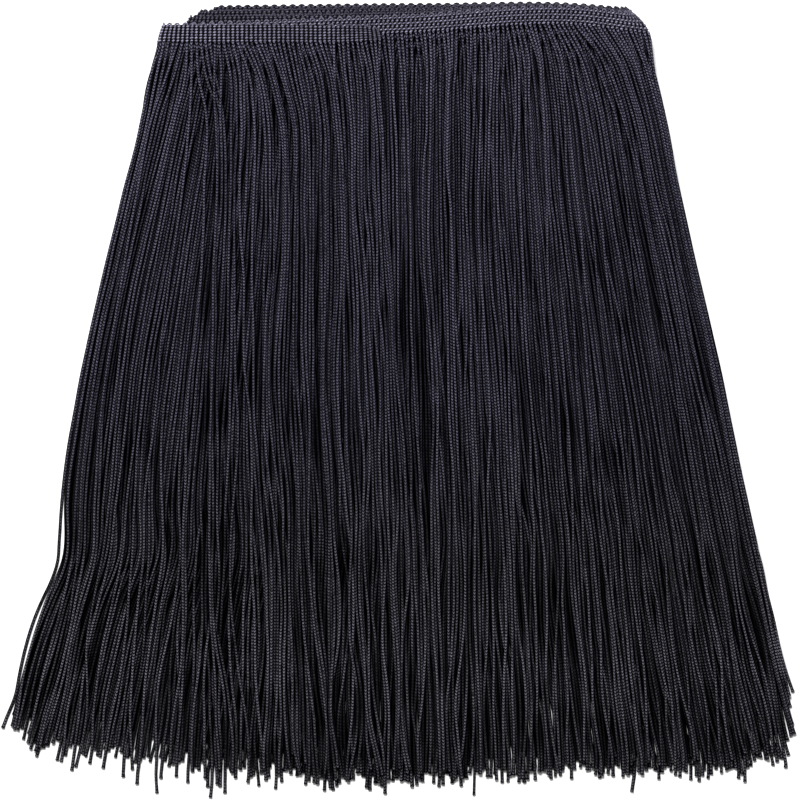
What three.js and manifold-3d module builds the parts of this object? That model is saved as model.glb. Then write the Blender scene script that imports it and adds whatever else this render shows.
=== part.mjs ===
// A folded length of long fringe trim, lying flat.
// A knitted heading is folded back and forth into layers, and its strands fan out below it.
// Millimetres. +X is to the right, +Y towards the heading, +Z up from the surface it lies on.

import * as THREE from 'three';
import { mergeVertices } from 'three/addons/utils/BufferGeometryUtils.js';
import Module from 'manifold-3d';

const wasm = await Module();
wasm.setup();

// Heading
const HEADING_HEIGHT = 10;
const HEADING_THICKNESS = 1.3;
const HEADING_PITCH = 1.75; // from one folded layer up to the next
const RUN_STEPS = 12; // sections along one layer
const FOLD_STEPS = 4; // sections round one fold
const PULL_REACH = 9; // how far from a fold its upper edge is drawn in
const SHOULDER = 0.88; // share of a layer's width where its shoulder lies

// Strands, gathered into locks
const STRAND_LENGTH = 413;
const TIP_PITCH = 1.25; // from one layer up to the next at the strands' ends
const LOCK_SPACING = 7.1; // along the heading
const LOCK_THICKNESS = 0.9;
const LOCK_ROOT_WIDTH = 5.3;
const LOCK_TIP_WIDTH = 8.4;
const LOCK_STEPS = 4;
const RAGGED = 7; // most that a lock is longer or shorter than the others
const SLANT = 2.5; // most that one corner of a lock's end reaches past the other
const WAVER = 2.4; // sideways sway of a layer's locks

// Backing strip that holds the roots of one layer's locks
const STRIP_HEIGHT = 2.4;
const STRIP_GAP = 0.3;
const STRIP_INSET = 3; // from a fold to the strip's end

// The heading's ends and folds in order along the trim, from the cut end on top to the one beneath.
// x is from the trim's middle line, and drop is the lower edge's distance below the highest edge.
// At each, the upper edge is drawn in by pull, which is towards -X, and raised by stretch.
const ENDS = [
  { x: -13.0, drop: 20.9, pull: 1.5, stretch: -4.5 },
  { x: -138.4, drop: 22.3, pull: -3.0, stretch: 0.4 },
  { x: 138.4, drop: 17.5, pull: 10.0, stretch: 3.0 },
  { x: -123.7, drop: 17.5, pull: -7.0, stretch: 0.5 },
  { x: 136.2, drop: 17.0, pull: 10.0, stretch: 3.0 },
  { x: -120.3, drop: 14.7, pull: -7.0, stretch: 0.5 },
  { x: 133.9, drop: 16.4, pull: 9.0, stretch: 3.0 },
  { x: -110.2, drop: 12.4, pull: -2.0, stretch: 0.0 },
];

// The layers from the top one down. Each runs from one of the ENDS to the next.
// middle and shoulder are the lower edge's drop there. tipLeft and tipRight are where its outer
// strands end, and spread is how much sooner than evenly they fan out.
const LAYERS = [
  { middle: 22.3, shoulder: 22.0, tipLeft: -226, tipRight: 0, spread: 0.04 },
  { middle: 17.0, shoulder: 13.0, tipLeft: -221, tipRight: 226, spread: 0.06 },
  { middle: 15.3, shoulder: 12.4, tipLeft: -224, tipRight: 222, spread: 0.03 },
  { middle: 13.6, shoulder: 11.9, tipLeft: -219, tipRight: 225, spread: 0.02 },
  { middle: 12.1, shoulder: 11.5, tipLeft: -223, tipRight: 220, spread: 0.03 },
  { middle: 11.0, shoulder: 10.7, tipLeft: -220, tipRight: 224, spread: 0.01 },
  { middle: 10.2, shoulder: 10.2, tipLeft: -223, tipRight: 221, spread: 0.02 },
];

const blackYarn = new THREE.MeshStandardMaterial({ color: 0x1f1e27, roughness: 0.75, metalness: 0 });
const knitYarn = new THREE.MeshStandardMaterial({ color: 0x2b2a35, roughness: 0.8, metalness: 0 });

const mix = THREE.MathUtils.lerp;

// An even spread of values from -1 to 1, one for each whole number
function scatter(number) {
  const wave = Math.sin(number * 12.9898 + 4.137) * 43758.5453;
  return 2 * (wave - Math.floor(wave)) - 1;
}

// A closed solid through sections of equal corner count
function loft(sections) {
  const corners = sections[0].length;
  const index = [];
  for (let section = 0; section + 1 < sections.length; section += 1) {
    for (let corner = 0; corner < corners; corner += 1) {
      const a = section * corners + corner;
      const b = section * corners + (corner + 1) % corners;
      index.push(a, b, b + corners, a, b + corners, a + corners);
    }
  }
  const last = (sections.length - 1) * corners;
  for (let corner = 1; corner + 1 < corners; corner += 1) {
    index.push(0, corner + 1, corner);
    index.push(last, last + corner, last + corner + 1);
  }
  return new THREE.BufferGeometry().setFromPoints(sections.flat()).setIndex(index);
}

function toSolid(geometry) {
  const merged = mergeVertices(geometry);
  return new wasm.Manifold(new wasm.Mesh({
    numProp: 3,
    vertProperties: Float32Array.from(merged.attributes.position.array),
    triVerts: Uint32Array.from(merged.index.array),
  }));
}

function join(geometries) {
  const mesh = wasm.Manifold.union(geometries.map(toSolid)).getMesh();
  const joined = new THREE.BufferGeometry();
  joined.setAttribute('position', new THREE.BufferAttribute(mesh.vertProperties, 3));
  joined.setIndex(new THREE.BufferAttribute(mesh.triVerts, 1));
  return joined;
}

function piece(name, geometry, material) {
  const faceted = geometry.toNonIndexed();
  faceted.computeVertexNormals();
  const mesh = new THREE.Mesh(faceted, material);
  mesh.name = name;
  return mesh;
}

// A layer's ends as [left, right]
function sides(layer) {
  const ends = [ENDS[layer], ENDS[layer + 1]];
  return ends.sort((a, b) => a.x - b.x);
}

// The heading's lower edge along one layer, from left to right
function lowerEdge(layer) {
  const [left, right] = sides(layer);
  const { middle, shoulder } = LAYERS[layer];
  return new THREE.CatmullRomCurve3([
    new THREE.Vector3(left.x, -left.drop, 0),
    new THREE.Vector3(mix(left.x, right.x, 0.5), -middle, 0),
    new THREE.Vector3(mix(left.x, right.x, SHOULDER), -shoulder, 0),
    new THREE.Vector3(right.x, -right.drop, 0),
  ]);
}

// Underside of a layer at the heading
function level(layer) {
  return (LAYERS.length - 1 - layer) * HEADING_PITCH;
}

// Underside of a layer's strands: the stack thins evenly from the heading to the strands' ends
function strandLevel(layer, y) {
  const slopeStart = -26;
  const share = Math.max(0, (slopeStart - y) / STRAND_LENGTH);
  return level(layer) * mix(1, TIP_PITCH / HEADING_PITCH, share);
}

// One section of the heading: centre of its lower edge, the side that its face looks to, and the
// nearest end, which draws the upper edge in
function headingSection(point, facing, end) {
  const nearness = Math.exp(-Math.abs(point.x - end.x) / PULL_REACH);
  const upper = new THREE.Vector3(
    point.x - end.pull * nearness,
    point.y + HEADING_HEIGHT + end.stretch * nearness,
    point.z,
  );
  const half = facing.clone().multiplyScalar(HEADING_THICKNESS / 2);
  return [
    point.clone().add(half),
    upper.clone().add(half),
    upper.clone().sub(half),
    point.clone().sub(half),
  ];
}

function heading() {
  const sections = [];
  LAYERS.forEach((_, layer) => {
    const [from, to] = [ENDS[layer], ENDS[layer + 1]];
    const side = Math.sign(to.x - from.x);
    const flip = layer % 2 === 0 ? 1 : -1;
    const edge = lowerEdge(layer);
    const middle = level(layer) + HEADING_THICKNESS / 2;
    for (let step = 0; step <= RUN_STEPS; step += 1) {
      const along = step / RUN_STEPS;
      const point = edge.getPointAt(side > 0 ? along : 1 - along).setZ(middle);
      sections.push(headingSection(point, new THREE.Vector3(0, 0, flip), along < 0.5 ? from : to));
    }
    if (layer + 1 === LAYERS.length) return;
    for (let step = 1; step < FOLD_STEPS; step += 1) {
      const turn = Math.PI * (0.5 - step / FOLD_STEPS);
      const outward = new THREE.Vector3(side * Math.cos(turn), 0, Math.sin(turn));
      const point = new THREE.Vector3(to.x, -to.drop, middle - HEADING_PITCH / 2);
      point.addScaledVector(outward, HEADING_PITCH / 2);
      sections.push(headingSection(point, outward.multiplyScalar(flip), to));
    }
  });
  return loft(sections);
}

// The strip just under the heading's lower edge on one layer
function backingStrip(layer) {
  const edge = lowerEdge(layer);
  const length = edge.getLength();
  const bottom = level(layer);
  const sections = [];
  for (let step = 0; step <= RUN_STEPS; step += 1) {
    const along = mix(STRIP_INSET, length - STRIP_INSET, step / RUN_STEPS) / length;
    const { x, y } = edge.getPointAt(along);
    const high = y - STRIP_GAP;
    const low = high - STRIP_HEIGHT;
    sections.push([
      new THREE.Vector3(x, low, bottom),
      new THREE.Vector3(x, high, bottom),
      new THREE.Vector3(x, high, bottom + HEADING_THICKNESS),
      new THREE.Vector3(x, low, bottom + HEADING_THICKNESS),
    ]);
  }
  return loft(sections);
}

// One lock, from inside the strip to its cut end
function lock(layer, number, count) {
  const edge = lowerEdge(layer);
  const length = edge.getLength();
  const { tipLeft, tipRight, spread } = LAYERS[layer];
  const share = (number + 0.5) / count;
  const seed = layer * 97 + number;
  const along = mix(STRIP_INSET, length - STRIP_INSET, share) / length;
  const root = edge.getPointAt(along);
  root.y -= STRIP_GAP + STRIP_HEIGHT / 2;
  const reach = STRAND_LENGTH + RAGGED * scatter(seed);
  const aside = mix(tipLeft, tipRight, share) - root.x;
  const tip = new THREE.Vector3(root.x + aside, root.y - Math.sqrt(reach ** 2 - aside ** 2), 0);
  const bend = new THREE.Vector3(root.x + aside * (0.5 + spread), mix(root.y, tip.y, 0.5), 0);
  const path = new THREE.QuadraticBezierCurve3(root, bend, tip);
  const sections = [];
  for (let step = 0; step <= LOCK_STEPS; step += 1) {
    const t = step / LOCK_STEPS;
    const centre = path.getPoint(t);
    const phase = 2 * Math.PI * (1.6 * share + 0.9 * t) + 2.1 * layer;
    centre.x += WAVER * Math.sin(phase) * Math.min(1, 2 * t);
    const across = path.getTangent(t).cross(new THREE.Vector3(0, 0, 1)).negate();
    const half = mix(LOCK_ROOT_WIDTH, LOCK_TIP_WIDTH, t) / 2;
    const slant = step === LOCK_STEPS ? SLANT * scatter(seed + 0.5) : 0;
    const left = centre.clone().addScaledVector(across, -half);
    const right = centre.clone().addScaledVector(across, half);
    left.y -= slant;
    right.y += slant;
    left.z = strandLevel(layer, left.y);
    right.z = strandLevel(layer, right.y);
    const up = new THREE.Vector3(0, 0, LOCK_THICKNESS);
    sections.push([left, right, right.clone().add(up), left.clone().add(up)]);
  }
  return loft(sections);
}

function fringe(layer) {
  const [left, right] = sides(layer);
  const count = Math.round((right.x - left.x) / LOCK_SPACING);
  const locks = Array.from({ length: count }, (_, number) => lock(layer, number, count));
  return join([backingStrip(layer), ...locks]);
}

const trim = new THREE.Group();
trim.add(piece('heading', heading(), knitYarn));
LAYERS.forEach((_, layer) => {
  trim.add(piece(`fringe_${layer + 1}`, fringe(layer), blackYarn));
});

// The origin is on the surface, under the middle of the whole trim
const middle = new THREE.Box3().setFromObject(trim).getCenter(new THREE.Vector3());
trim.position.set(-middle.x, -middle.y, 0);

export default trim;
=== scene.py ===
import math

import bpy
import numpy as np
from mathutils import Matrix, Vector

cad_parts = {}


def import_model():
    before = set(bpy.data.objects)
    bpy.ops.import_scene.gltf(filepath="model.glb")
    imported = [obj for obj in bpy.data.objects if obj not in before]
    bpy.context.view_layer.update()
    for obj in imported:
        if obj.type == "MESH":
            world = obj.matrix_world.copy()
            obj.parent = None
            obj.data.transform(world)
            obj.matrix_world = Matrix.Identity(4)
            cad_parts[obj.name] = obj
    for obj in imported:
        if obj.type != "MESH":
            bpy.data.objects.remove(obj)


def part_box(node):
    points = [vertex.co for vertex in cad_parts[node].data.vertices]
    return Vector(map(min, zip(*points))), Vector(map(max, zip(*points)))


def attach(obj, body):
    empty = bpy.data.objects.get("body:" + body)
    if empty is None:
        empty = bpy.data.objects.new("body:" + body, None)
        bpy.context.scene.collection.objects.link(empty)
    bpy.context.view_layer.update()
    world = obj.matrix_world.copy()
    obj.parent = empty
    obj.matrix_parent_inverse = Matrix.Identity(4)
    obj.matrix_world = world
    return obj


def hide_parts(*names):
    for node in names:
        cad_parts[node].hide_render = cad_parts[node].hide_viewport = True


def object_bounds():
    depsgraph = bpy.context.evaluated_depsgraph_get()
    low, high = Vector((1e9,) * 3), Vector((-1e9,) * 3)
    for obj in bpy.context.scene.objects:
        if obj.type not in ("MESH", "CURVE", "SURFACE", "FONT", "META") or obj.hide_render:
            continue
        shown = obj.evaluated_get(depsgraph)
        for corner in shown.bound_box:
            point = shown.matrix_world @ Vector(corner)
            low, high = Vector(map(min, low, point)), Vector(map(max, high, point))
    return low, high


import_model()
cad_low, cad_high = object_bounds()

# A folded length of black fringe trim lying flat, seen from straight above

# Lengths are in millimetres as far as the stage. x is from the trim's middle line, and y is 0 at
# its highest edge and falls towards the strands' ends, as in the part's source.
MM = 0.001

# The photograph: its side and the trim's middle line and highest edge in pixels, and how many
# millimetres a pixel spans
PHOTO_SIZE = 800
PHOTO_MIDDLE = 405
PHOTO_TOP = 4
PIXEL = 0.565

# Heading: its height, the step between its layers and how high the lowest lies, how far a fold's
# pull reaches, where a layer's shoulder is along it, and how sharply its upper corners bend
HEADING_HEIGHT = 10.0
HEADING_PITCH = 1.75
HEADING_LIFT = 0.8
FOLD_LENGTH = math.pi * HEADING_PITCH / 2
PULL_REACH = 9.0
SHOULDER = 0.88
CORNER_BEND = 1.6

# The heading's stitches: how far apart its columns and rows are, and how high the first row is
COLUMN_PITCH = 2.58
ROWS = 6
ROW_PITCH = 1.6
FIRST_ROW = 0.85

# Strands: their size, the chain stitches on them, how high in the heading they start and how
# soon they spread below it, how the last bit of each flares, and how far they roll, in radians
STRAND_WIDTH = 1.9
STRAND_THICKNESS = 1.6
STITCH_PITCH = 1.75
STITCH_LEAN = 1.8
ROOT_HEIGHT = 0.5
ROOT_SPREAD = 8.0
FLARE_LENGTH = 2.2
FLARE = np.array([1.08, 1.25])
TWIST = 0.4

# Where a strand's line is kept, as distances down from the heading, and the same from 0 to 1
DOWN = np.arange(0.0, 437.0, 2.0)
LOW = DOWN / DOWN[-1]

# The heading's ends and folds in order along the trim. drop is how far down its lower edge is,
# pull is how far left its upper edge leans, and stretch is how much higher the heading is there.
ENDS = [
    dict(x=-13.0, drop=20.9, pull=1.5, stretch=-4.5),
    dict(x=-138.4, drop=22.3, pull=-3.0, stretch=0.4),
    dict(x=136.7, drop=17.5, pull=10.0, stretch=3.0),
    dict(x=-124.6, drop=17.5, pull=-4.2, stretch=0.5),
    dict(x=135.4, drop=16.0, pull=10.0, stretch=3.0),
    dict(x=-120.3, drop=13.9, pull=-5.5, stretch=0.5),
    dict(x=133.4, drop=12.8, pull=8.0, stretch=1.2),
    dict(x=-110.2, drop=10.5, pull=-2.0, stretch=0.0),
]

# The heading's layers from the top one down: how far down the lower edge of each is at its
# middle and at its shoulder
LAYERS = [
    dict(middle=22.3, shoulder=22.0),
    dict(middle=17.0, shoulder=13.0),
    dict(middle=15.3, shoulder=12.4),
    dict(middle=13.6, shoulder=11.9),
    dict(middle=12.1, shoulder=11.5),
    dict(middle=11.0, shoulder=10.4),
    dict(middle=9.2, shoulder=9.7),
]

# Guide strands as they run in the photograph, in its pixels: x where a strand leaves the
# heading, and x at each of these distances further down
GUIDE_DROPS = [0, 32, 70, 160, 354, 460, 515, 560, 733]
TOP_GUIDES = [
    [160, 152, 145, 123, 80, 66, 65, 47, -4],
    [164, 156, 149, 128, 86, 74, 71, 58, 15],
    [171, 164, 154, 133, 93, 83, 79, 69, 32],
    [179, 168, 154, 138, 103, 95, 92, 80, 42],
    [189, 187, 178, 159, 125, 115, 112, 104, 80],
    [196, 198, 204, 200, 186, 181, 179, 177, 170],
    [204, 207, 215, 216, 208, 206, 205, 204, 206],
    [223, 226, 225, 225, 221, 220, 220, 221, 226],
    [236, 246, 250, 251, 250, 256, 258, 259, 265],
    [258, 272, 281, 284, 281, 286, 288, 290, 297],
    [282, 290, 300, 304, 300, 305, 307, 309, 317],
    [317, 328, 333, 335, 336, 341, 343, 345, 351],
    [341, 342, 345, 348, 356, 361, 363, 364, 370],
    [366, 373, 377, 381, 390, 394, 396, 397, 400],
    [381, 381, 382, 387, 401, 406, 408, 409, 412],
]
LOWER_GUIDES = [
    [160, 152, 145, 124, 82, 67, 65, 46, -4],
    [185, 177, 167, 144, 105, 95, 91, 79, 40],
    [200, 197, 188, 167, 131, 121, 117, 111, 82],
    [215, 217, 213, 200, 174, 166, 163, 160, 148],
    [232, 237, 239, 234, 220, 216, 214, 213, 213],
    [250, 259, 265, 263, 256, 258, 259, 261, 265],
    [280, 288, 295, 297, 292, 297, 299, 301, 308],
    [330, 337, 340, 341, 347, 351, 353, 355, 360],
    [388, 394, 397, 400, 405, 411, 414, 416, 420],
    [408, 413, 413, 414, 420, 425, 427, 428, 430],
    [460, 464, 463, 460, 465, 467, 467, 468, 467],
    [502, 507, 507, 506, 514, 520, 523, 525, 532],
    [523, 535, 538, 541, 552, 558, 561, 563, 574],
    [536, 548, 553, 558, 574, 583, 587, 590, 603],
    [550, 570, 578, 588, 609, 620, 626, 631, 650],
    [563, 585, 600, 616, 650, 668, 676, 683, 708],
    [576, 603, 620, 643, 682, 701, 710, 718, 746],
    [592, 618, 635, 657, 699, 718, 729, 738, 772],
    [609, 631, 645, 666, 708, 729, 740, 750, 788],
    [626, 643, 655, 674, 716, 737, 748, 758, 799],
    [648, 651, 660, 678, 722, 743, 755, 765, 809],
]

# The one strand that lies apart on the left: its x at each of these drops, in the same pixels,
# and then its length
LOOSE_STRAND = [
    dict(drop=0, x=160),
    dict(drop=32, x=152),
    dict(drop=70, x=144),
    dict(drop=117, x=133),
    dict(drop=160, x=121),
    dict(drop=217, x=106),
    dict(drop=287, x=90),
    dict(drop=354, x=77),
    dict(drop=417, x=66),
    dict(drop=467, x=60),
    dict(drop=497, x=58),
    dict(drop=519, x=56),
    dict(drop=537, x=50),
    dict(drop=557, x=41),
    dict(drop=577, x=33),
    dict(drop=602, x=25),
    dict(drop=632, x=18),
    dict(drop=654, x=14),
    dict(drop=677, x=5),
    dict(drop=733, x=-16),
]
LOOSE_LENGTH = 399

# How far aside the strand next to it starts, over what distance that fades, and how far aside
# its root is
NEXT_ASIDE = 0.9
NEXT_ASIDE_REACH = 18
NEXT_ROOT_ASIDE = 0.6

# Where the last strand on the right stands off its neighbours, in millimetres
RIGHT_BOWS = [
    dict(down=330, size=1.5, reach=15),
    dict(down=376, size=2.4, reach=18),
]

# How far each layer follows the lower guides, and not an even fan between the outer two
FOLLOWS = [1.0, 0.85, 0.3, 0.1, -0.1, -0.22, -0.36]

# How much the strands of each layer stray
CALM = [1.0, 0.8, 0.5, 0.35, 0.2, 0.1, 0.05]

# How readily the strands of each layer slip sideways
YIELDS = [1.0, 1.0, 1.2, 1.5, 1.5, 1.5, 1.5]

# How much wider strands are for being pressed flat, from which layer on, and how close to their
# ends that fades
FLATTER = 0.25
FLATTER_FROM = 4
FLATTER_FADE = 40

# How far the outermost strands of each lower layer lie in from those above, how many strands
# that fades over, and how far down it starts in full
EDGE_INSET = 0.4
INSET_STRANDS = 4
INSET_DOWN = 40

# How far right of the top layer's lines the second layer lies, and the whole heading's width
SECOND_LAYER_ASIDE = 0.5
FULL_WIDTH = 277

# Slow sideways drifts that neighbouring strands share: how wide and how long their waves are,
# their size at the heading and how it grows downwards, and whether each layer has its own
DRIFTS = [
    dict(seed=100, own=0, across=22, along=150, base=0.4, gain=1.1, power=2),
    dict(seed=200, own=1, across=16, along=120, base=0.3, gain=1.1, power=3),
]
DRIFT_WAVES = 6

# How far these drifts fan out with the strands, how much of them is left at the edges and how
# steeply they rise from there, how soon they are there in full below the heading, and how many
# strands roam on their own
DRIFT_FANS = 0.35
DRIFT_AT_EDGES = 0.1
DRIFT_STEEPNESS = 14
DRIFT_EASES_IN = 60
ROAMING_SHARE = 0.04

# Strand lengths: the mean of each layer, their spread, how many are longer and by how much, how
# much they gain from left to right, and how much the outermost ones lack on the left and right
MEAN_LENGTHS = [419, 422, 423, 422, 421, 421, 420]
LENGTH_SPREAD = 3.3
LONGER_SHARE = 0.09
LONGER_BY = (4, 10)
LONGER_TO_THE_RIGHT = 12
EDGES_SHORTER = (15.0, 44.0)
EDGE_STEEPNESS = 9

# How strands settle: the sideways slips that they try, what a bend, a slip and a slip away from
# the middle cost beside each millimetre of height, what covering bare ground saves, and how many
# strands at an edge are held
SLIPS = np.arange(-8, 9) * 0.3
BEND_COST = 1.1
SLIP_COST = 0.1
OUTWARD_COST = 8.0
BARE_REWARD = 12.0
HELD_STRANDS = 6

# Over how many grid rows slips and heights are blurred, how soon a strand slips in full, and how
# soon it lets go of the heading's height
SLIP_BLUR = 2.0
HEIGHT_BLUR = 1.6
SLIP_EASES_IN = 30
HEIGHT_HOLD = 13.0

# Painted shade on strands that lie deep in the pile: how fast it darkens them with depth at the
# heading and how much faster at their ends, how deep it starts, how far down it is in full, and
# how steeply the pile's top rises at its edges
DARKENING = 0.29
DARKENING_GAIN = 0.66
DARK_FROM = 0.2
FULL_DROP = 430
EDGE_RISE = 1.2

# Rings along a strand and sides around it, for each layer
RINGS = [104, 100, 76, 70, 66, 66, 76]
SIDES = [7, 7, 5, 5, 5, 5, 6]

rng = np.random.default_rng(41)

heading_low, heading_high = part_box("heading")
MIDDLE_X = (heading_low.x + heading_high.x) / 2 / MM
TOP_Y = heading_low.y / MM + max(end["drop"] for end in ENDS)


def to_frame(points):
    """Points in millimetres about the trim's middle line, as metres in the part's frame."""
    return (np.asarray(points, float) + (MIDDLE_X, TOP_Y, 0.0)) * MM


def unit(vectors):
    """Vectors brought to length 1."""
    return vectors / np.linalg.norm(vectors, axis=-1, keepdims=True)


# The trim's path


def cubic_through(xs, ys, at):
    """A smooth curve through points with rising xs."""
    xs = np.asarray(xs, float)
    ys = np.asarray(ys, float)
    slopes = np.gradient(ys, xs)
    part = np.clip(np.searchsorted(xs, at) - 1, 0, len(xs) - 2)
    width = xs[part + 1] - xs[part]
    t = np.clip((at - xs[part]) / width, 0, 1)
    return (
        (2 * t**3 - 3 * t**2 + 1) * ys[part]
        + (t**3 - 2 * t**2 + t) * width * slopes[part]
        + (3 * t**2 - 2 * t**3) * ys[part + 1]
        + (t**3 - t**2) * width * slopes[part + 1]
    )


def lower_edge(layer, x):
    """The y of the heading's lower edge on one layer."""
    left, right = sorted((ENDS[layer], ENDS[layer + 1]), key=lambda end: end["x"])
    span = right["x"] - left["x"]
    xs = [left["x"], left["x"] + span / 2, left["x"] + SHOULDER * span, right["x"]]
    drops = [left["drop"], LAYERS[layer]["middle"], LAYERS[layer]["shoulder"], right["drop"]]
    return -cubic_through(xs, drops, x)


def lay_out():
    """Where each run and fold of the trim starts, as a length along it."""
    parts = []
    start = 0.0
    for layer in range(len(LAYERS)):
        length = abs(ENDS[layer + 1]["x"] - ENDS[layer]["x"])
        parts.append(dict(layer=layer, fold=False, start=start, length=length))
        start += length
        if layer + 1 < len(LAYERS):
            parts.append(dict(layer=layer, fold=True, start=start, length=FOLD_LENGTH))
            start += FOLD_LENGTH
    return parts, start


PARTS, TRIM_LENGTH = lay_out()


# The columns of what trim_at gives
X, Y, Z, FACE_X, FACE_Z, PULL, STRETCH, LAYER = range(8)


def trim_at(along):
    """For each length along the trim: x, y and z of the lower edge's middle, the way its face
    looks (x and z), the upper edge's pull and stretch, and the layer."""
    slack = 1e-9
    along = np.atleast_1d(np.asarray(along, float))
    rows = np.zeros((len(along), 8))
    for part in PARTS:
        end = part["start"] + part["length"]
        here = (along >= part["start"] - slack) & (along <= end + slack)
        if not here.any():
            continue
        layer = part["layer"]
        before, after = ENDS[layer], ENDS[layer + 1]
        side = math.copysign(1, after["x"] - before["x"])
        flip = 1 if layer % 2 == 0 else -1
        level = (len(LAYERS) - 1 - layer) * HEADING_PITCH + HEADING_LIFT
        gone = along[here] - part["start"]
        if part["fold"]:
            turn = math.pi * (0.5 - gone / FOLD_LENGTH)
            x = after["x"] + side * np.cos(turn) * HEADING_PITCH / 2
            y = np.full(len(gone), -after["drop"])
            z = level - HEADING_PITCH / 2 * (1 - np.sin(turn))
            face = flip * np.array([side * np.cos(turn), np.sin(turn)])
            pull = np.full(len(gone), after["pull"])
            stretch = np.full(len(gone), after["stretch"])
        else:
            x = before["x"] + side * gone
            y = lower_edge(layer, x)
            z = np.full(len(gone), level)
            face = np.array([np.zeros(len(gone)), np.full(len(gone), float(flip))])
            near_before = np.exp(-np.abs(x - before["x"]) / PULL_REACH)
            near_after = np.exp(-np.abs(x - after["x"]) / PULL_REACH)
            pull = near_before * before["pull"] + near_after * after["pull"]
            stretch = near_before * before["stretch"] + near_after * after["stretch"]
        rows[here] = np.column_stack([x, y, z, *face, pull, stretch, np.full(len(gone), layer)])
    return rows


def on_heading(along, height, out):
    """Points at a length along the trim, a height above its lower edge and a distance out of
    its face, which is negative on its other face."""
    along, height, out = np.broadcast_arrays(along, height, out)
    shape = along.shape
    rows = trim_at(along.ravel())
    share = height.ravel() / HEADING_HEIGHT
    lean = rows[:, PULL] * np.abs(share) ** CORNER_BEND
    x = rows[:, X] - lean + rows[:, FACE_X] * out.ravel()
    y = rows[:, Y] + (HEADING_HEIGHT + rows[:, STRETCH]) * share
    z = rows[:, Z] + rows[:, FACE_Z] * out.ravel()
    return np.column_stack([x, y, z]).reshape(*shape, 3)


# Meshes


def make_mesh(name, points, blocks, shade, uvs=None):
    """An object from points in millimetres, faces in blocks that each have one number of
    corners, the painted shade of the yarn at each point, and the yarn's UV coordinates."""
    loops = np.concatenate([block.ravel() for block in blocks])
    totals = np.concatenate([np.full(len(block), block.shape[1]) for block in blocks])
    mesh = bpy.data.meshes.new(name)
    mesh.vertices.add(len(points))
    mesh.vertices.foreach_set("co", to_frame(points).astype(np.float32).ravel())
    mesh.loops.add(len(loops))
    mesh.loops.foreach_set("vertex_index", loops.astype(np.int32))
    mesh.polygons.add(len(totals))
    starts = np.cumsum(totals) - totals
    mesh.polygons.foreach_set("loop_start", starts.astype(np.int32))
    mesh.polygons.foreach_set("loop_total", totals.astype(np.int32))
    mesh.polygons.foreach_set("use_smooth", np.ones(len(totals), bool))
    values = mesh.attributes.new("Shade", "FLOAT", "POINT")
    values.data.foreach_set("value", shade.astype(np.float32).ravel())
    if uvs is not None:
        layer = mesh.uv_layers.new(name="Yarn")
        corners = np.concatenate([block.reshape(-1, 2) for block in uvs])
        layer.data.foreach_set("uv", corners.astype(np.float32).ravel())
    mesh.update(calc_edges=True)
    mesh.validate()
    obj = bpy.data.objects.new(name, mesh)
    bpy.context.scene.collection.objects.link(obj)
    return obj


def tubes(name, centres, across, up, lengths, sides, shade):
    """Closed tubes. centres, across and up are arrays of tube, ring and axis, and across and up
    already hold half the width and half the thickness. lengths is the yarn's length at each ring,
    and shade is the painted shade there. Each tube has a random number as its UV's whole part."""
    count, rings = centres.shape[:2]
    angle = 2 * np.pi * np.arange(sides) / sides
    points = (
        centres[:, :, None]
        + across[:, :, None] * np.cos(angle)[None, None, :, None]
        + up[:, :, None] * np.sin(angle)[None, None, :, None]
    )
    ring = np.arange(rings - 1)
    corner = np.arange(sides)
    base = np.arange(count) * rings * sides
    a = base[:, None, None] + (ring * sides)[None, :, None] + corner[None, None, :]
    after = (corner + 1) % sides
    b = base[:, None, None] + (ring * sides)[None, :, None] + after[None, None, :]
    walls = np.stack([a, a + sides, b + sides, b], -1).reshape(-1, 4)
    start = base[:, None] + corner[None, :]
    finish = base[:, None] + (rings - 1) * sides + corner[::-1][None, :]
    u = np.stack([corner, corner, corner + 1, corner + 1], -1) / sides
    u = np.broadcast_to(u, (count, rings - 1, sides, 4))
    low = np.broadcast_to(lengths[:, :-1, None], (count, rings - 1, sides))
    high = np.broadcast_to(lengths[:, 1:, None], (count, rings - 1, sides))
    v = np.stack([low, high, high, low], -1) / STITCH_PITCH
    number = rng.integers(0, 200, (count, 1, 1, 1))
    wall_uvs = np.stack([u + number, v + rng.random((count, 1, 1, 1))], -1)
    flat = np.zeros((count * 2, sides, 2))
    return make_mesh(
        name,
        points.reshape(-1, 3),
        [walls, start, finish],
        shade=np.repeat(shade[:, :, None], sides, axis=2),
        uvs=[wall_uvs, flat[:count], flat[count:]],
    )


# Where the strands lie

COLUMNS = int(TRIM_LENGTH / COLUMN_PITCH)
column_along = (np.arange(COLUMNS) + 0.5) * TRIM_LENGTH / COLUMNS
column_rows = trim_at(column_along)
column_layer = column_rows[:, LAYER].astype(int)

# The height of what lies on the surface so far, on a grid: a row each STEP down, and in it a cell
# each BIN from -HALF_FIELD to HALF_FIELD. A strand spans the cells of reach, and dome is how far
# its top and its underside are from its middle there.
STEP = 4.0
GRID_Y = -np.arange(6.0, 460.0, STEP)
BIN = 0.25
HALF_FIELD = 245.0
ground = np.zeros((len(GRID_Y), int(2 * HALF_FIELD / BIN)))
reach = np.arange(-4, 5)
dome = STRAND_THICKNESS / 2 * np.sqrt(np.clip(1 - (reach * BIN / (STRAND_WIDTH / 2)) ** 2, 0, 1))


def smooth(values, width):
    """Values along a strand, blurred."""
    half = int(3 * width)
    kernel = np.exp(-0.5 * (np.arange(-half, half + 1) / width) ** 2)
    return np.convolve(np.pad(values, half, "edge"), kernel / kernel.sum(), "valid")


def wander(knots):
    """A smooth random line through unit-sized random knots, from 0, for each distance down."""
    values = rng.normal(size=knots)
    values[0] = 0
    return cubic_through(np.linspace(0, 1, knots), values, LOW)


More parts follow.
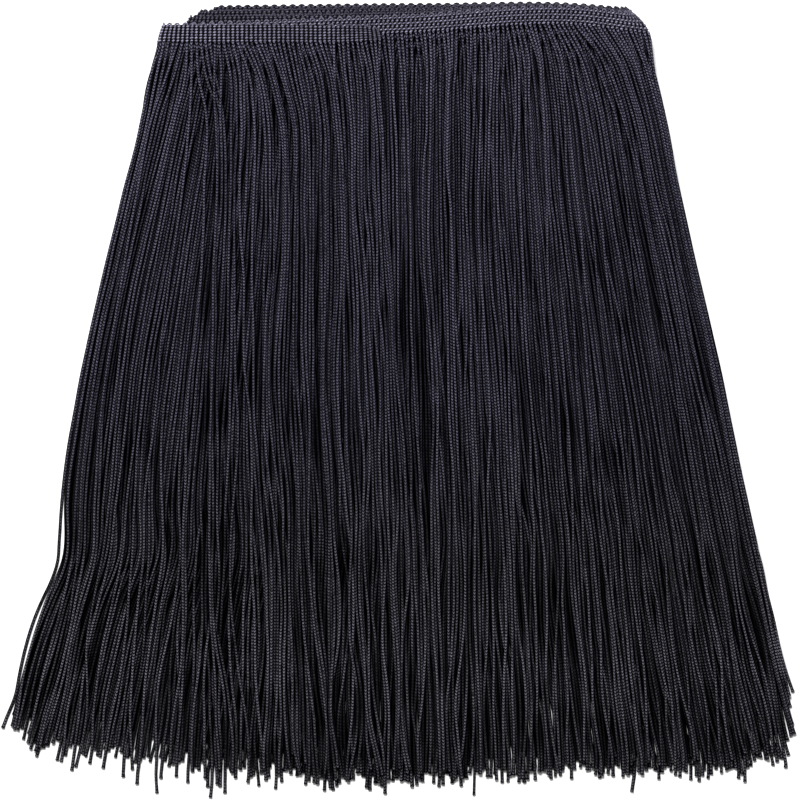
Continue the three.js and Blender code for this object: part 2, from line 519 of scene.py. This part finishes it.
def drift(seed, place, across, along, size):
    """A slow sideways drift that neighbouring strands share."""
    field = np.random.default_rng(seed)
    total = np.zeros(place.shape)
    for _ in range(DRIFT_WAVES):
        turns_across = 2 * np.pi / (across * field.uniform(0.7, 1.8))
        turns_along = 2 * np.pi / (along * field.uniform(0.7, 1.8)) * field.choice([-1, 1])
        phase = field.uniform(0, 2 * np.pi)
        total += np.sin(turns_across * place + turns_along * DOWN[None, :] + phase)
    return total * size / math.sqrt(DRIFT_WAVES / 2)


def guided(guides, roots, downs):
    """x of strands that leave the heading at roots, at each distance of their own row of downs."""
    guides = (np.array(guides, float) - PHOTO_MIDDLE) * PIXEL
    drops = np.array(GUIDE_DROPS) * PIXEL
    knots = np.column_stack([cubic_through(guides[:, 0], column, roots) for column in guides.T])
    return np.array([cubic_through(drops, row, down) for row, down in zip(knots, downs)])


def top_lines(roots, downs):
    """x of the top layer's strands. The first lies apart, and the next one starts aside of it."""
    x = guided(TOP_GUIDES, roots, downs)
    drops = np.array([point["drop"] for point in LOOSE_STRAND]) * PIXEL
    places = (np.array([point["x"] for point in LOOSE_STRAND]) - PHOTO_MIDDLE) * PIXEL
    x[0] = cubic_through(drops, places, DOWN)
    x[1] += NEXT_ASIDE * np.exp(-DOWN / NEXT_ASIDE_REACH)
    return x


def lower_lines(layer, roots, downs):
    """x of a lower layer's strands, which follow the guides in part and fan out evenly else."""
    left, right = ((LOWER_GUIDES[end][0] - PHOTO_MIDDLE) * PIXEL for end in (0, -1))
    spread = left + (right - left) * (roots - roots[0]) / (roots[-1] - roots[0])
    even = guided([LOWER_GUIDES[0], LOWER_GUIDES[-1]], spread, downs)
    follows = FOLLOWS[layer]
    x = follows * guided(LOWER_GUIDES, spread, downs) + (1 - follows) * even
    x += (roots - spread)[:, None] * np.exp(-DOWN / ROOT_SPREAD)[None, :]
    number = np.arange(len(roots))
    sides = np.exp(-number / INSET_STRANDS) - np.exp(-number[::-1] / INSET_STRANDS)
    inset = EDGE_INSET * (layer - 1) * sides
    x += inset[:, None] * np.clip(DOWN / INSET_DOWN, 0, 1)[None, :]
    if layer == 1:
        x += SECOND_LAYER_ASIDE * np.clip(DOWN / 2, 0, 1)[None, :]
        for bow in RIGHT_BOWS:
            x[-1] += bow["size"] * np.exp(-(((DOWN - bow["down"]) / bow["reach"]) ** 2))
    return x


def add_drift(layer, x, place):
    """Adds the drifts that neighbours share and each strand's own wandering to x."""
    common = x[:, :1] + DRIFT_FANS * (x - x[:, :1])
    from_edge = np.minimum(place, 1 - place)[:, None]
    inner = np.clip(from_edge * DRIFT_STEEPNESS, DRIFT_AT_EDGES, 1)
    eased = np.clip(DOWN / DRIFT_EASES_IN, 0, 1)[None, :] * inner
    calm = CALM[layer]
    for wave in DRIFTS:
        seed = wave["seed"] + wave["own"] * layer
        field = drift(seed, common, wave["across"], wave["along"], calm)
        x += eased * field * (wave["base"] + wave["gain"] * LOW ** wave["power"])[None, :]
    for number in range(len(x)):
        roaming = rng.random() < ROAMING_SHARE
        slow = calm * (0.2 + 0.9 * LOW**4 + roaming * 1.5 * LOW)
        x[number] += wander(knots=9) * slow * min(1, 3 * inner[number, 0])
        fine = 0.13 * np.clip(DOWN / 20, 0, 1) + 0.5 * LOW**8
        x[number] += wander(knots=24) * fine


def strand_lengths(layer, place):
    """How long the strands of a layer are."""
    count = len(place)
    lengths = MEAN_LENGTHS[layer] + rng.normal(size=count) * LENGTH_SPREAD
    lengths += np.where(rng.random(count) < LONGER_SHARE, rng.uniform(*LONGER_BY, count), 0)
    lengths += LONGER_TO_THE_RIGHT * (place - 0.5)
    lengths -= EDGES_SHORTER[0] * np.clip(1 - EDGE_STEEPNESS * place, 0, 1) ** 2
    lengths -= EDGES_SHORTER[1] * np.clip(1 - EDGE_STEEPNESS * (1 - place), 0, 1) ** 2
    if layer == 0:
        lengths[:2] = LOOSE_LENGTH
    return lengths


def plan_layer(layer):
    """The lines of one layer's strands on the surface, before they are stacked: x for each
    strand and distance down, the y where each starts, its length so far, and its whole length."""
    columns = np.flatnonzero(column_layer == layer)
    columns = columns[np.argsort(column_rows[columns, X])]
    roots = column_rows[columns, X]
    root_y = column_rows[columns, Y]
    downs = DOWN[None, :] + (lower_edge(min(layer, 1), roots) - root_y)[:, None]
    downs = np.clip(downs, 0, None)
    if layer == 0:
        x = top_lines(roots, downs)
        place = (roots - roots[0]) / FULL_WIDTH
    else:
        x = lower_lines(layer, roots, downs)
        place = np.linspace(0, 1, len(roots))
    add_drift(layer, x, place)
    steps = np.hypot(np.diff(x, axis=1), np.diff(DOWN))
    gone = np.concatenate([np.zeros((len(roots), 1)), np.cumsum(steps, axis=1)], axis=1)
    return columns, x, root_y, gone, strand_lengths(layer, place)


slip_number = np.arange(len(SLIPS))
bend_cost = BEND_COST * (slip_number[:, None] - slip_number[None, :]) ** 2


def cheapest_path(costs, here):
    """For each row that counts, which choice gives the lowest total cost with small steps."""
    rows = np.flatnonzero(here)
    total = costs[:, rows[0]]
    came_from = []
    for row in rows[1:]:
        options = total[None, :] + bend_cost
        came_from.append(options.argmin(1))
        total = options.min(1) + costs[:, row]
    choice = [total.argmin()]
    for step in reversed(came_from):
        choice.append(step[choice[-1]])
    path = np.zeros(costs.shape[1], int)
    path[rows] = choice[::-1]
    path[: rows[0]] = choice[-1]
    path[rows[-1] :] = choice[0]
    return path


def settle(x_line, start_y, end_y, root_z, yields, inward):
    """Lays one strand on what lies there already, and adds it. Returns how far it slips
    sideways, which grows with how much it yields, and the height of its middle, on GRID_Y.
    inward is above 0 near the trim's left side and below 0 near its right side, where a strand
    slips only towards the middle."""
    x = np.interp(start_y - GRID_Y, DOWN, x_line)
    here = (GRID_Y < start_y) & (GRID_Y > end_y)
    rows = np.arange(len(GRID_Y))[:, None]

    def below(position):
        middle = np.rint((position + HALF_FIELD) / BIN).astype(int)
        return ground[rows, middle[:, None] + reach]

    slips = SLIPS * yields
    costs = np.zeros((len(slips), len(x)))
    for number, slip in enumerate(slips):
        under = below(x + slip)
        outward = max(0, -slip * inward)
        bare = (under == 0).mean(1)
        costs[number] = (under + dome).max(1) - BARE_REWARD * np.sqrt(bare)
        costs[number] += SLIP_COST * abs(slip) + OUTWARD_COST * outward
    slip = smooth(slips[cheapest_path(costs, here)], SLIP_BLUR)
    slip *= np.clip((start_y - GRID_Y) / SLIP_EASES_IN, 0, 1)
    z = smooth((below(x + slip) + dome).max(1), HEIGHT_BLUR)
    hold = np.exp(-np.clip(start_y - GRID_Y, 0, None) / HEIGHT_HOLD)
    z = z + (np.maximum(root_z, z) - z) * hold
    middle = np.rint((x + slip + HALF_FIELD) / BIN).astype(int)[here]
    for step, rise in zip(reach, dome):
        if rise > 0:
            cells = (rows[here, 0], middle + step)
            ground[cells] = np.maximum(ground[cells], z[here] + rise)
    return slip, z


def settle_layer(layer):
    """Centre lines of one layer's strands, settled on the layers below, the yarn's length at
    each of their points, and each strand's whole length."""
    columns, x_all, start_y, gone_all, lengths = plan_layer(layer)
    rings = RINGS[layer]
    centres = np.zeros((len(columns), rings, 3))
    gone = np.zeros((len(columns), rings))
    for number in rng.permutation(len(columns)):
        root_z = column_rows[columns[number], Z]
        length = lengths[number]
        at = np.concatenate([
            np.linspace(0, length - FLARE_LENGTH, rings - 2),
            [length - FLARE_LENGTH / 2, length],
        ])
        down = np.interp(at, gone_all[number], DOWN)
        y = start_y[number] - down
        yields = 0.0 if (layer, number) == (0, 0) else YIELDS[layer]
        from_right = len(columns) - 1 - number
        inward = max(0, 1 - number / HELD_STRANDS) - max(0, 1 - from_right / HELD_STRANDS)
        slip, z = settle(x_all[number], start_y[number], y[-1], root_z, yields, inward)
        x = np.interp(down, DOWN, x_all[number]) + np.interp(-y, -GRID_Y, slip)
        centres[number] = np.column_stack([x, y, np.interp(-y, -GRID_Y, z)])
        gone[number] = at
    centres[:, 0] = on_heading(column_along[columns], ROOT_HEIGHT, 0.0)
    if layer == 0:
        centres[1, 0, 0] += NEXT_ROOT_ASIDE
    return centres, gone, lengths


def strand_frames(layer):
    """Centre lines of one layer's strands, half their width and half their thickness as
    vectors, and the yarn's length at each of their points."""
    centres, gone, lengths = settle_layer(layer)
    tangent = unit(np.gradient(centres, axis=1))
    side = unit(np.cross(tangent, (0.0, 0.0, 1.0)))
    rise = np.cross(side, tangent)
    width = np.full(RINGS[layer], STRAND_WIDTH / 2)
    width[-2:] *= FLARE
    height = width * STRAND_THICKNESS / STRAND_WIDTH
    each = (len(centres), 1)
    slight = rng.normal(1.0, 0.04, each)
    lean = rng.uniform(-0.3, 0.3, each)
    twist_length = rng.uniform(40, 120, each)
    twist_start = rng.uniform(0, 6.3, each)
    roll = lean + TWIST * np.sin(gone / twist_length + twist_start)
    from_end = np.clip((lengths[:, None] - gone) / FLATTER_FADE, 0, 1)
    pressed = 1 + FLATTER * (layer >= FLATTER_FROM) * from_end
    half_width = (width * slight * pressed)[:, :, None]
    half_height = (height * slight / pressed)[:, :, None]
    cos = np.cos(roll)[:, :, None]
    sin = np.sin(roll)[:, :, None]
    across = (side * cos + rise * sin) * half_width
    up = (rise * cos - side * sin) * half_height
    return centres, across, up, gone


def pile_top():
    """The height of the whole pile on the grid, smoothed, with no cliff at its edges."""
    near = range(-12, 13, 2)
    top = np.max([np.roll(ground, step, axis=1) for step in near], axis=0)
    top = np.mean([np.roll(top, step, axis=1) for step in near], axis=0)
    covered = ground > 0
    cells = np.arange(ground.shape[1])[None, :]
    first = covered.argmax(1)[:, None]
    last = ground.shape[1] - 1 - covered[:, ::-1].argmax(1)[:, None]
    from_edge = np.minimum(cells - first, last - cells) * BIN
    return np.minimum(top, STRAND_THICKNESS + EDGE_RISE * from_edge)


def painted_depth_shade(centres, top):
    """Painted shade on strands that lie deep among others: how bright it leaves them, 1 on top of
    the pile.
    """
    row = np.clip(np.rint((GRID_Y[0] - centres[..., 1]) / STEP), 0, len(GRID_Y) - 1).astype(int)
    column = ((centres[..., 0] + HALF_FIELD) / BIN).astype(int)
    column = np.clip(column, 0, ground.shape[1] - 1)
    depth = top[row, column] - centres[..., 2] - STRAND_THICKNESS / 2
    darkening = DARKENING + DARKENING_GAIN * np.clip(-centres[..., 1] / FULL_DROP, 0, 1)
    return np.exp(-np.clip(depth - DARK_FROM, 0, None) * darkening)


# Materials


def material(name, roughness):
    """A matt material, its node tree and its shader."""
    made = bpy.data.materials.new(name)
    made.use_nodes = True
    shader = made.node_tree.nodes["Principled BSDF"]
    shader.inputs["Roughness"].default_value = roughness
    shader.inputs["Specular IOR Level"].default_value = 0.0
    return made, made.node_tree, shader


def math_node(tree, operation, first, second=None, third=None):
    """The result of a Math node on numbers or other nodes' outputs."""
    node = tree.nodes.new("ShaderNodeMath")
    node.operation = operation
    for socket, value in zip(node.inputs, (first, second, third)):
        if value is None:
            continue
        if isinstance(value, (int, float)):
            socket.default_value = value
        else:
            tree.links.new(value, socket)
    return node.outputs[0]


def colour_ramp(tree, factor, stops):
    """A colour that runs through stops of position and colour."""
    node = tree.nodes.new("ShaderNodeValToRGB")
    ramp = node.color_ramp
    while len(ramp.elements) < len(stops):
        ramp.elements.new(0.5)
    for element, (position, colour) in zip(ramp.elements, stops):
        element.position = position
        element.color = (*colour, 1)
    tree.links.new(factor, node.inputs["Fac"])
    return node.outputs["Color"]


def fishbone(tree, columns):
    """How high the yarn stands in chain stitches on a cord: two leaning legs meet in a V, over
    and over, with a low rim beside them. Also the strand's number, as the whole part."""
    uv = tree.nodes.new("ShaderNodeUVMap")
    uv.uv_map = "Yarn"
    parts = tree.nodes.new("ShaderNodeSeparateXYZ")
    tree.links.new(uv.outputs["UV"], parts.inputs[0])
    turn = math_node(tree, "FRACT", math_node(tree, "MULTIPLY", parts.outputs["X"], columns))
    from_middle = math_node(tree, "ABSOLUTE", math_node(tree, "SUBTRACT", turn, 0.5))
    phase = math_node(tree, "MULTIPLY_ADD", from_middle, STITCH_LEAN, parts.outputs["Y"])
    wave = math_node(tree, "SINE", math_node(tree, "MULTIPLY", phase, 2 * math.pi))
    ridge = math_node(tree, "MULTIPLY_ADD", wave, 0.5, 0.5)
    edge = math_node(tree, "SUBTRACT", 0.5, from_middle)
    rim = math_node(tree, "MULTIPLY_ADD", edge, 4.5, -0.5)
    rim.node.use_clamp = True
    height = math_node(tree, "MULTIPLY", ridge, rim)
    return height, parts.outputs["X"]


def noise(tree, scale, detail):
    """Noise from 0 to 1 that is fixed to the object."""
    place = tree.nodes.new("ShaderNodeTexCoord")
    node = tree.nodes.new("ShaderNodeTexNoise")
    node.inputs["Scale"].default_value = scale
    node.inputs["Detail"].default_value = detail
    tree.links.new(place.outputs["Object"], node.inputs["Vector"])
    return node.outputs["Fac"]


def add_bump(tree, shader, height, strength, distance):
    """Bump on a shader from a height of 0 to 1, distance being in metres."""
    bump = tree.nodes.new("ShaderNodeBump")
    bump.inputs["Strength"].default_value = strength
    bump.inputs["Distance"].default_value = distance
    tree.links.new(height, bump.inputs["Height"])
    tree.links.new(bump.outputs["Normal"], shader.inputs["Normal"])


def shade_along(tree, low_y, high_y):
    """0 at the strands' ends and 1 at the heading."""
    place = tree.nodes.new("ShaderNodeTexCoord")
    parts = tree.nodes.new("ShaderNodeSeparateXYZ")
    tree.links.new(place.outputs["Object"], parts.inputs[0])
    node = tree.nodes.new("ShaderNodeMapRange")
    node.inputs["From Min"].default_value = low_y
    node.inputs["From Max"].default_value = high_y
    tree.links.new(parts.outputs["Y"], node.inputs["Value"])
    return node.outputs["Result"]


def shaded(tree, colour):
    """A colour times the painted shade that the mesh holds in its Shade attribute."""
    node = tree.nodes.new("ShaderNodeAttribute")
    node.attribute_name = "Shade"
    scale = tree.nodes.new("ShaderNodeVectorMath")
    scale.operation = "SCALE"
    tree.links.new(colour, scale.inputs[0])
    tree.links.new(node.outputs["Fac"], scale.inputs["Scale"])
    return scale.outputs["Vector"]


def mix_colours(tree, factor, first, second):
    """A colour between two, each given as numbers or as another node's output."""
    blend = tree.nodes.new("ShaderNodeMix")
    blend.data_type = "RGBA"
    tree.links.new(factor, blend.inputs["Factor"])
    for socket, value in ((blend.inputs["A"], first), (blend.inputs["B"], second)):
        if isinstance(value, tuple):
            socket.default_value = (*value, 1)
        else:
            tree.links.new(value, socket)
    return blend.outputs["Result"]


def cord_material():
    """Knitted cord: its fine stitches are painted light as painted highlights, and it is painted
    black between them as painted shade. It turns from navy at the heading to a neutral black at
    the cut ends, and its painted stitches stand out more there. Strands and single fibres differ a
    little.
    The mesh's painted shade darkens it further."""
    made, tree, shader = material("black_cord", roughness=0.55)
    height, number = fishbone(tree, columns=2.0)
    along = shade_along(tree, cad_low.y, cad_high.y)
    # Painted highlight on the stitches' crowns, and painted shade in the grooves between them
    contrast = math_node(tree, "MULTIPLY_ADD", along, -0.9, 2.6)
    painted_light = math_node(tree, "POWER", height, contrast)
    yarn = colour_ramp(tree, along, [
        (0.0, (0.128, 0.121, 0.146)),
        (0.15, (0.185, 0.176, 0.218)),
        (0.28, (0.137, 0.128, 0.158)),
        (0.5, (0.122, 0.116, 0.164)),
        (0.72, (0.121, 0.115, 0.166)),
        (1.0, (0.143, 0.136, 0.198)),
    ])
    each = tree.nodes.new("ShaderNodeTexWhiteNoise")
    each.noise_dimensions = "1D"
    tree.links.new(math_node(tree, "FLOOR", number), each.inputs["W"])
    uneven = math_node(tree, "MULTIPLY_ADD", noise(tree, 900, 1), 2.2, -0.4)
    uneven = math_node(tree, "MULTIPLY_ADD", each.outputs["Value"], 0.4, uneven)
    painted_light = math_node(tree, "MULTIPLY", painted_light, uneven)
    painted_light.node.use_clamp = True
    # The painted shade between the stitches
    between = (0.0008, 0.0008, 0.0012)
    colour = shaded(tree, mix_colours(tree, painted_light, between, yarn))
    tree.links.new(colour, shader.inputs["Base Color"])
    add_bump(tree, shader, height, strength=0.8, distance=0.3 * MM)
    return made


def knit_material(name, dark, light):
    """The heading's yarn, with fine fibres, times the mesh's painted shade."""
    made, tree, shader = material(name, roughness=0.6)
    fibre = noise(tree, 1500, 2)
    colour = colour_ramp(tree, fibre, [(0.3, dark), (0.7, light)])
    tree.links.new(shaded(tree, colour), shader.inputs["Base Color"])
    add_bump(tree, shader, fibre, strength=0.4, distance=0.2 * MM)
    return made


# The heading


def band():
    """The thin knitted ground of the heading, one continuous folded sheet."""
    stations = np.linspace(0, TRIM_LENGTH, 2 * COLUMNS)
    heights = np.array([0.1, 3.1, 6.1, 9.6])
    half_thickness = 0.16
    front = on_heading(stations[:, None], heights[None, :], half_thickness)
    back = on_heading(stations[:, None], heights[None, ::-1], -half_thickness)
    section = np.concatenate([front, back], axis=1)
    around = section.shape[1]
    index = np.arange(len(stations) * around).reshape(len(stations), around)
    turned = np.roll(index, -1, axis=1)
    walls = np.stack([index[:-1], turned[:-1], turned[1:], index[1:]], -1).reshape(-1, 4)
    ends = np.stack([index[0][::-1], index[-1]])
    points = section.reshape(-1, 3)
    return make_mesh("heading_band", points, [walls, ends], shade=np.ones(len(points)))


def layer_shade(along):
    """How bright the heading is painted. Its top layer is brightest at its left end, and those
    below the second are painted dark as shade where they lie under the others."""
    rows = trim_at(along.ravel())
    layer = rows[:, LAYER]
    half_width = 138
    top_shade = 0.39 - 0.73 * rows[:, X] / half_width
    second_shade = 0.88
    lower_shade = 0.38
    shade = np.select([layer == 0, layer == 1], [top_shade, second_shade], lower_shade)
    return shade.reshape(along.shape)


def ribs():
    """The cords that stand in the heading: each goes up one column and down the next, round a
    small loop at the upper edge. The loops of the lowest layer, which form its rim, are lower and
    thicker, and painted darker as shade."""
    pairs = COLUMNS // 2
    first = column_along[0 : 2 * pairs : 2]
    second = column_along[1 : 2 * pairs : 2]
    turn = np.linspace(0, math.pi, 7)[1:-1]
    loop_base = 9.0
    loop_rise = 1.5
    rim_lowering = 0.4
    rim_widening = 1.7
    half_depth = 0.42
    yarn_length = 24
    upward = [0.0, 3.0, 6.0, loop_base]
    heights = np.concatenate([upward, loop_base + loop_rise * np.sin(turn), upward[::-1]])
    share = np.concatenate([[0.0] * 4, (1 - np.cos(turn)) / 2, [1.0] * 4])
    standing = np.concatenate([[1.0] * 4, [0.0] * len(turn), [1.0] * 4])
    along = first[:, None] + (second - first)[:, None] * share[None, :]
    rim = trim_at(along.ravel())[:, LAYER].reshape(along.shape) == len(LAYERS) - 1
    heights = heights[None, :] - rim_lowering * rim * np.clip(heights - loop_base, 0, None)
    centres = on_heading(along, heights, 0.0)
    front = on_heading(along, heights, 1.0) - centres
    tangent = unit(np.gradient(centres, axis=1))
    half_width = (0.46 + 0.04 * standing) * np.where(rim, rim_widening, 1.0)
    across = unit(np.cross(tangent, front)) * half_width[:, :, None]
    lengths = np.broadcast_to(np.linspace(0, yarn_length, along.shape[1]), along.shape)
    # Painted shade: the rim's loops darkest, and the standing cords darker than the loops, as in
    # the hollows between the beads
    shade = layer_shade(along) * np.where(rim, 0.3, 0.6 - 0.25 * standing)
    return tubes("heading_cords", centres, across, front * half_depth, lengths, 6, shade)


BEAD_SIDES = 6


def bead_shape(size):
    """One bead: how far its points are along the trim, up it and out of it. There is a ring at
    its foot, a smaller one above it, and its crown."""
    half_long, half_high, rise = size
    foot = 0.45
    angle = 2 * np.pi * np.arange(BEAD_SIDES) / BEAD_SIDES
    ring_scale = np.array([1.0, 0.72])
    ring_out = np.array([foot, foot + 0.72 * rise])
    long = np.append(np.outer(ring_scale, half_long * np.cos(angle)), 0)
    high = np.append(np.outer(ring_scale, half_high * np.sin(angle)), 0)
    out = np.append(np.repeat(ring_out, BEAD_SIDES), foot + rise)
    return long, high, out


def bead_faces(side):
    """The faces of one bead: its walls, its crown and its floor."""
    corner = np.arange(BEAD_SIDES)
    after = (corner + 1) % BEAD_SIDES
    tip = np.full(BEAD_SIDES, 2 * BEAD_SIDES)
    walls = np.stack([corner, after, after + BEAD_SIDES, corner + BEAD_SIDES], -1)
    crown = np.stack([corner + BEAD_SIDES, after + BEAD_SIDES, tip], -1)
    floor = corner[::-1][None, :]
    return [block[:, ::side] for block in (walls, crown, floor)]


def beads(name, side, size, tilts, shift):
    """Rows of chain stitches on one face of the heading, each a small raised bead of yarn.
    They lean by the first and second tilt in turn along each row, and near the trim's cut end
    they are so high that the rows join."""
    row = np.arange(ROWS)
    margin = 0.6
    along = column_along[:, None] + shift * COLUMN_PITCH * (row % 2)[None, :]
    along = np.clip(along, margin, TRIM_LENGTH - margin)
    height = np.broadcast_to(FIRST_ROW + ROW_PITCH * row[None, :], along.shape).ravel()
    along = along.ravel()
    long, high, out = bead_shape(size)
    tilt = np.radians(np.where(np.arange(COLUMNS) % 2 == 0, *tilts))
    tilt = np.repeat(tilt, ROWS)[:, None]
    right = long * np.cos(tilt) - high * np.sin(tilt)
    up = long * np.sin(tilt) + high * np.cos(tilt)
    wobble = rng.normal(1.0, 0.07, (len(along), 1))
    joined_up_to = 44
    joined = 1 + 0.4 * np.clip((joined_up_to - along) / 12, 0, 1)[:, None]
    points = on_heading(
        np.clip(along[:, None] + right * wobble, 0, TRIM_LENGTH),
        height[:, None] + up * wobble * joined,
        side * out[None, :],
    )
    base = (np.arange(len(along)) * len(out))[:, None, None]
    blocks = [(base + block).reshape(-1, block.shape[-1]) for block in bead_faces(side)]
    # Painted shade at each bead's foot and a painted highlight on its crown, on top of the
    # heading's painted shade
    painted_shade_by_ring = np.array([0.4] * BEAD_SIDES + [0.95] * BEAD_SIDES + [1.3])
    shade = layer_shade(along)[:, None] * painted_shade_by_ring[None, :]
    return make_mesh(name, points.reshape(-1, 3), blocks, shade=shade)


# Build

cord = cord_material()
# One black yarn throughout: the stitches' light colours are painted sheen, and the ground's
# near-black is painted shade where it lies under the stitches
knit = knit_material("black_knit", (0.065, 0.061, 0.092), (0.34, 0.32, 0.44))
knit_cords = knit_material("black_knit_cords", (0.05, 0.047, 0.066), (0.30, 0.285, 0.39))
knit_ground_painted_shade = knit_material("black_knit_ground", (0.001, 0.001, 0.0016), (0.007, 0.0066, 0.009))

# The lowest layer is laid first, and each of the others on those before it
laid = {layer: strand_frames(layer) for layer in reversed(range(len(LAYERS)))}
top = pile_top()

for layer, (centres, across, up, gone) in laid.items():
    # Strands that lie deep in the pile are darkened with painted shade
    bright = painted_depth_shade(centres, top)
    piece = tubes(f"strands_{layer + 1}", centres, across, up, gone, SIDES[layer], bright)
    piece.data.materials.append(cord)
    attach(piece, "root")
    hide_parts(f"fringe_{layer + 1}")

ground_band = band()
ground_band.data.materials.append(knit_ground_painted_shade)
stitched = [
    ribs(),
    beads("heading_front", side=1, size=(1.08, 0.42, 0.45), tilts=(-8, -8), shift=0.0),
    beads("heading_back", side=-1, size=(1.1, 0.42, 0.45), tilts=(22, 22), shift=0.5),
]
for piece, yarn in zip(stitched, [knit_cords, knit, knit]):
    piece.data.materials.append(yarn)
for piece in [ground_band, *stitched]:
    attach(piece, "root")
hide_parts("heading")


# Stage, light and camera, in metres


def stage():
    """The pale surface that the trim lies on."""
    bpy.ops.mesh.primitive_plane_add(size=6, location=(0, 0, -0.0002))
    floor = bpy.context.object
    floor.name = "floor"
    paper = bpy.data.materials.new("paper")
    paper.use_nodes = True
    shader = paper.node_tree.nodes["Principled BSDF"]
    shader.inputs["Base Color"].default_value = (0.9, 0.9, 0.895, 1)
    shader.inputs["Roughness"].default_value = 0.9
    floor.data.materials.append(paper)


def soft_light(name, place, size, power):
    """A round lamp that shines at the frame's origin."""
    light = bpy.data.lights.new(name, "AREA")
    light.shape = "DISK"
    light.size = size
    light.energy = power
    lamp = bpy.data.objects.new(name, light)
    lamp.location = place
    lamp.rotation_mode = "QUATERNION"
    lamp.rotation_quaternion = (-lamp.location).to_track_quat("-Z", "Y")
    bpy.context.scene.collection.objects.link(lamp)


def world():
    """Even light from all round."""
    sky = bpy.data.worlds.new("studio")
    sky.use_nodes = True
    background = sky.node_tree.nodes["Background"]
    background.inputs["Color"].default_value = (1, 1, 1, 1)
    background.inputs["Strength"].default_value = 0.3
    bpy.context.scene.world = sky


def camera():
    """A camera straight above the middle of the photograph, which frames it at a height above
    the surface."""
    distance = 1.6
    framed_height = 0.006
    sensor = 36
    data = bpy.data.cameras.new("camera")
    data.sensor_width = sensor
    data.lens = sensor * distance / (PHOTO_SIZE * PIXEL * MM)
    data.clip_end = 20
    eye = bpy.data.objects.new("camera", data)
    right = (PHOTO_SIZE / 2 - PHOTO_MIDDLE) * PIXEL
    down = (PHOTO_SIZE / 2 - PHOTO_TOP) * PIXEL
    x, y, _ = to_frame((right, -down, 0.0))
    eye.location = (x, y, distance + framed_height)
    bpy.context.scene.collection.objects.link(eye)
    bpy.context.scene.camera = eye


stage()
soft_light("key", place=(-0.3, 1.0, 1.8), size=0.7, power=70)
world()
camera()
bpy.context.scene.view_settings.view_transform = "Standard"
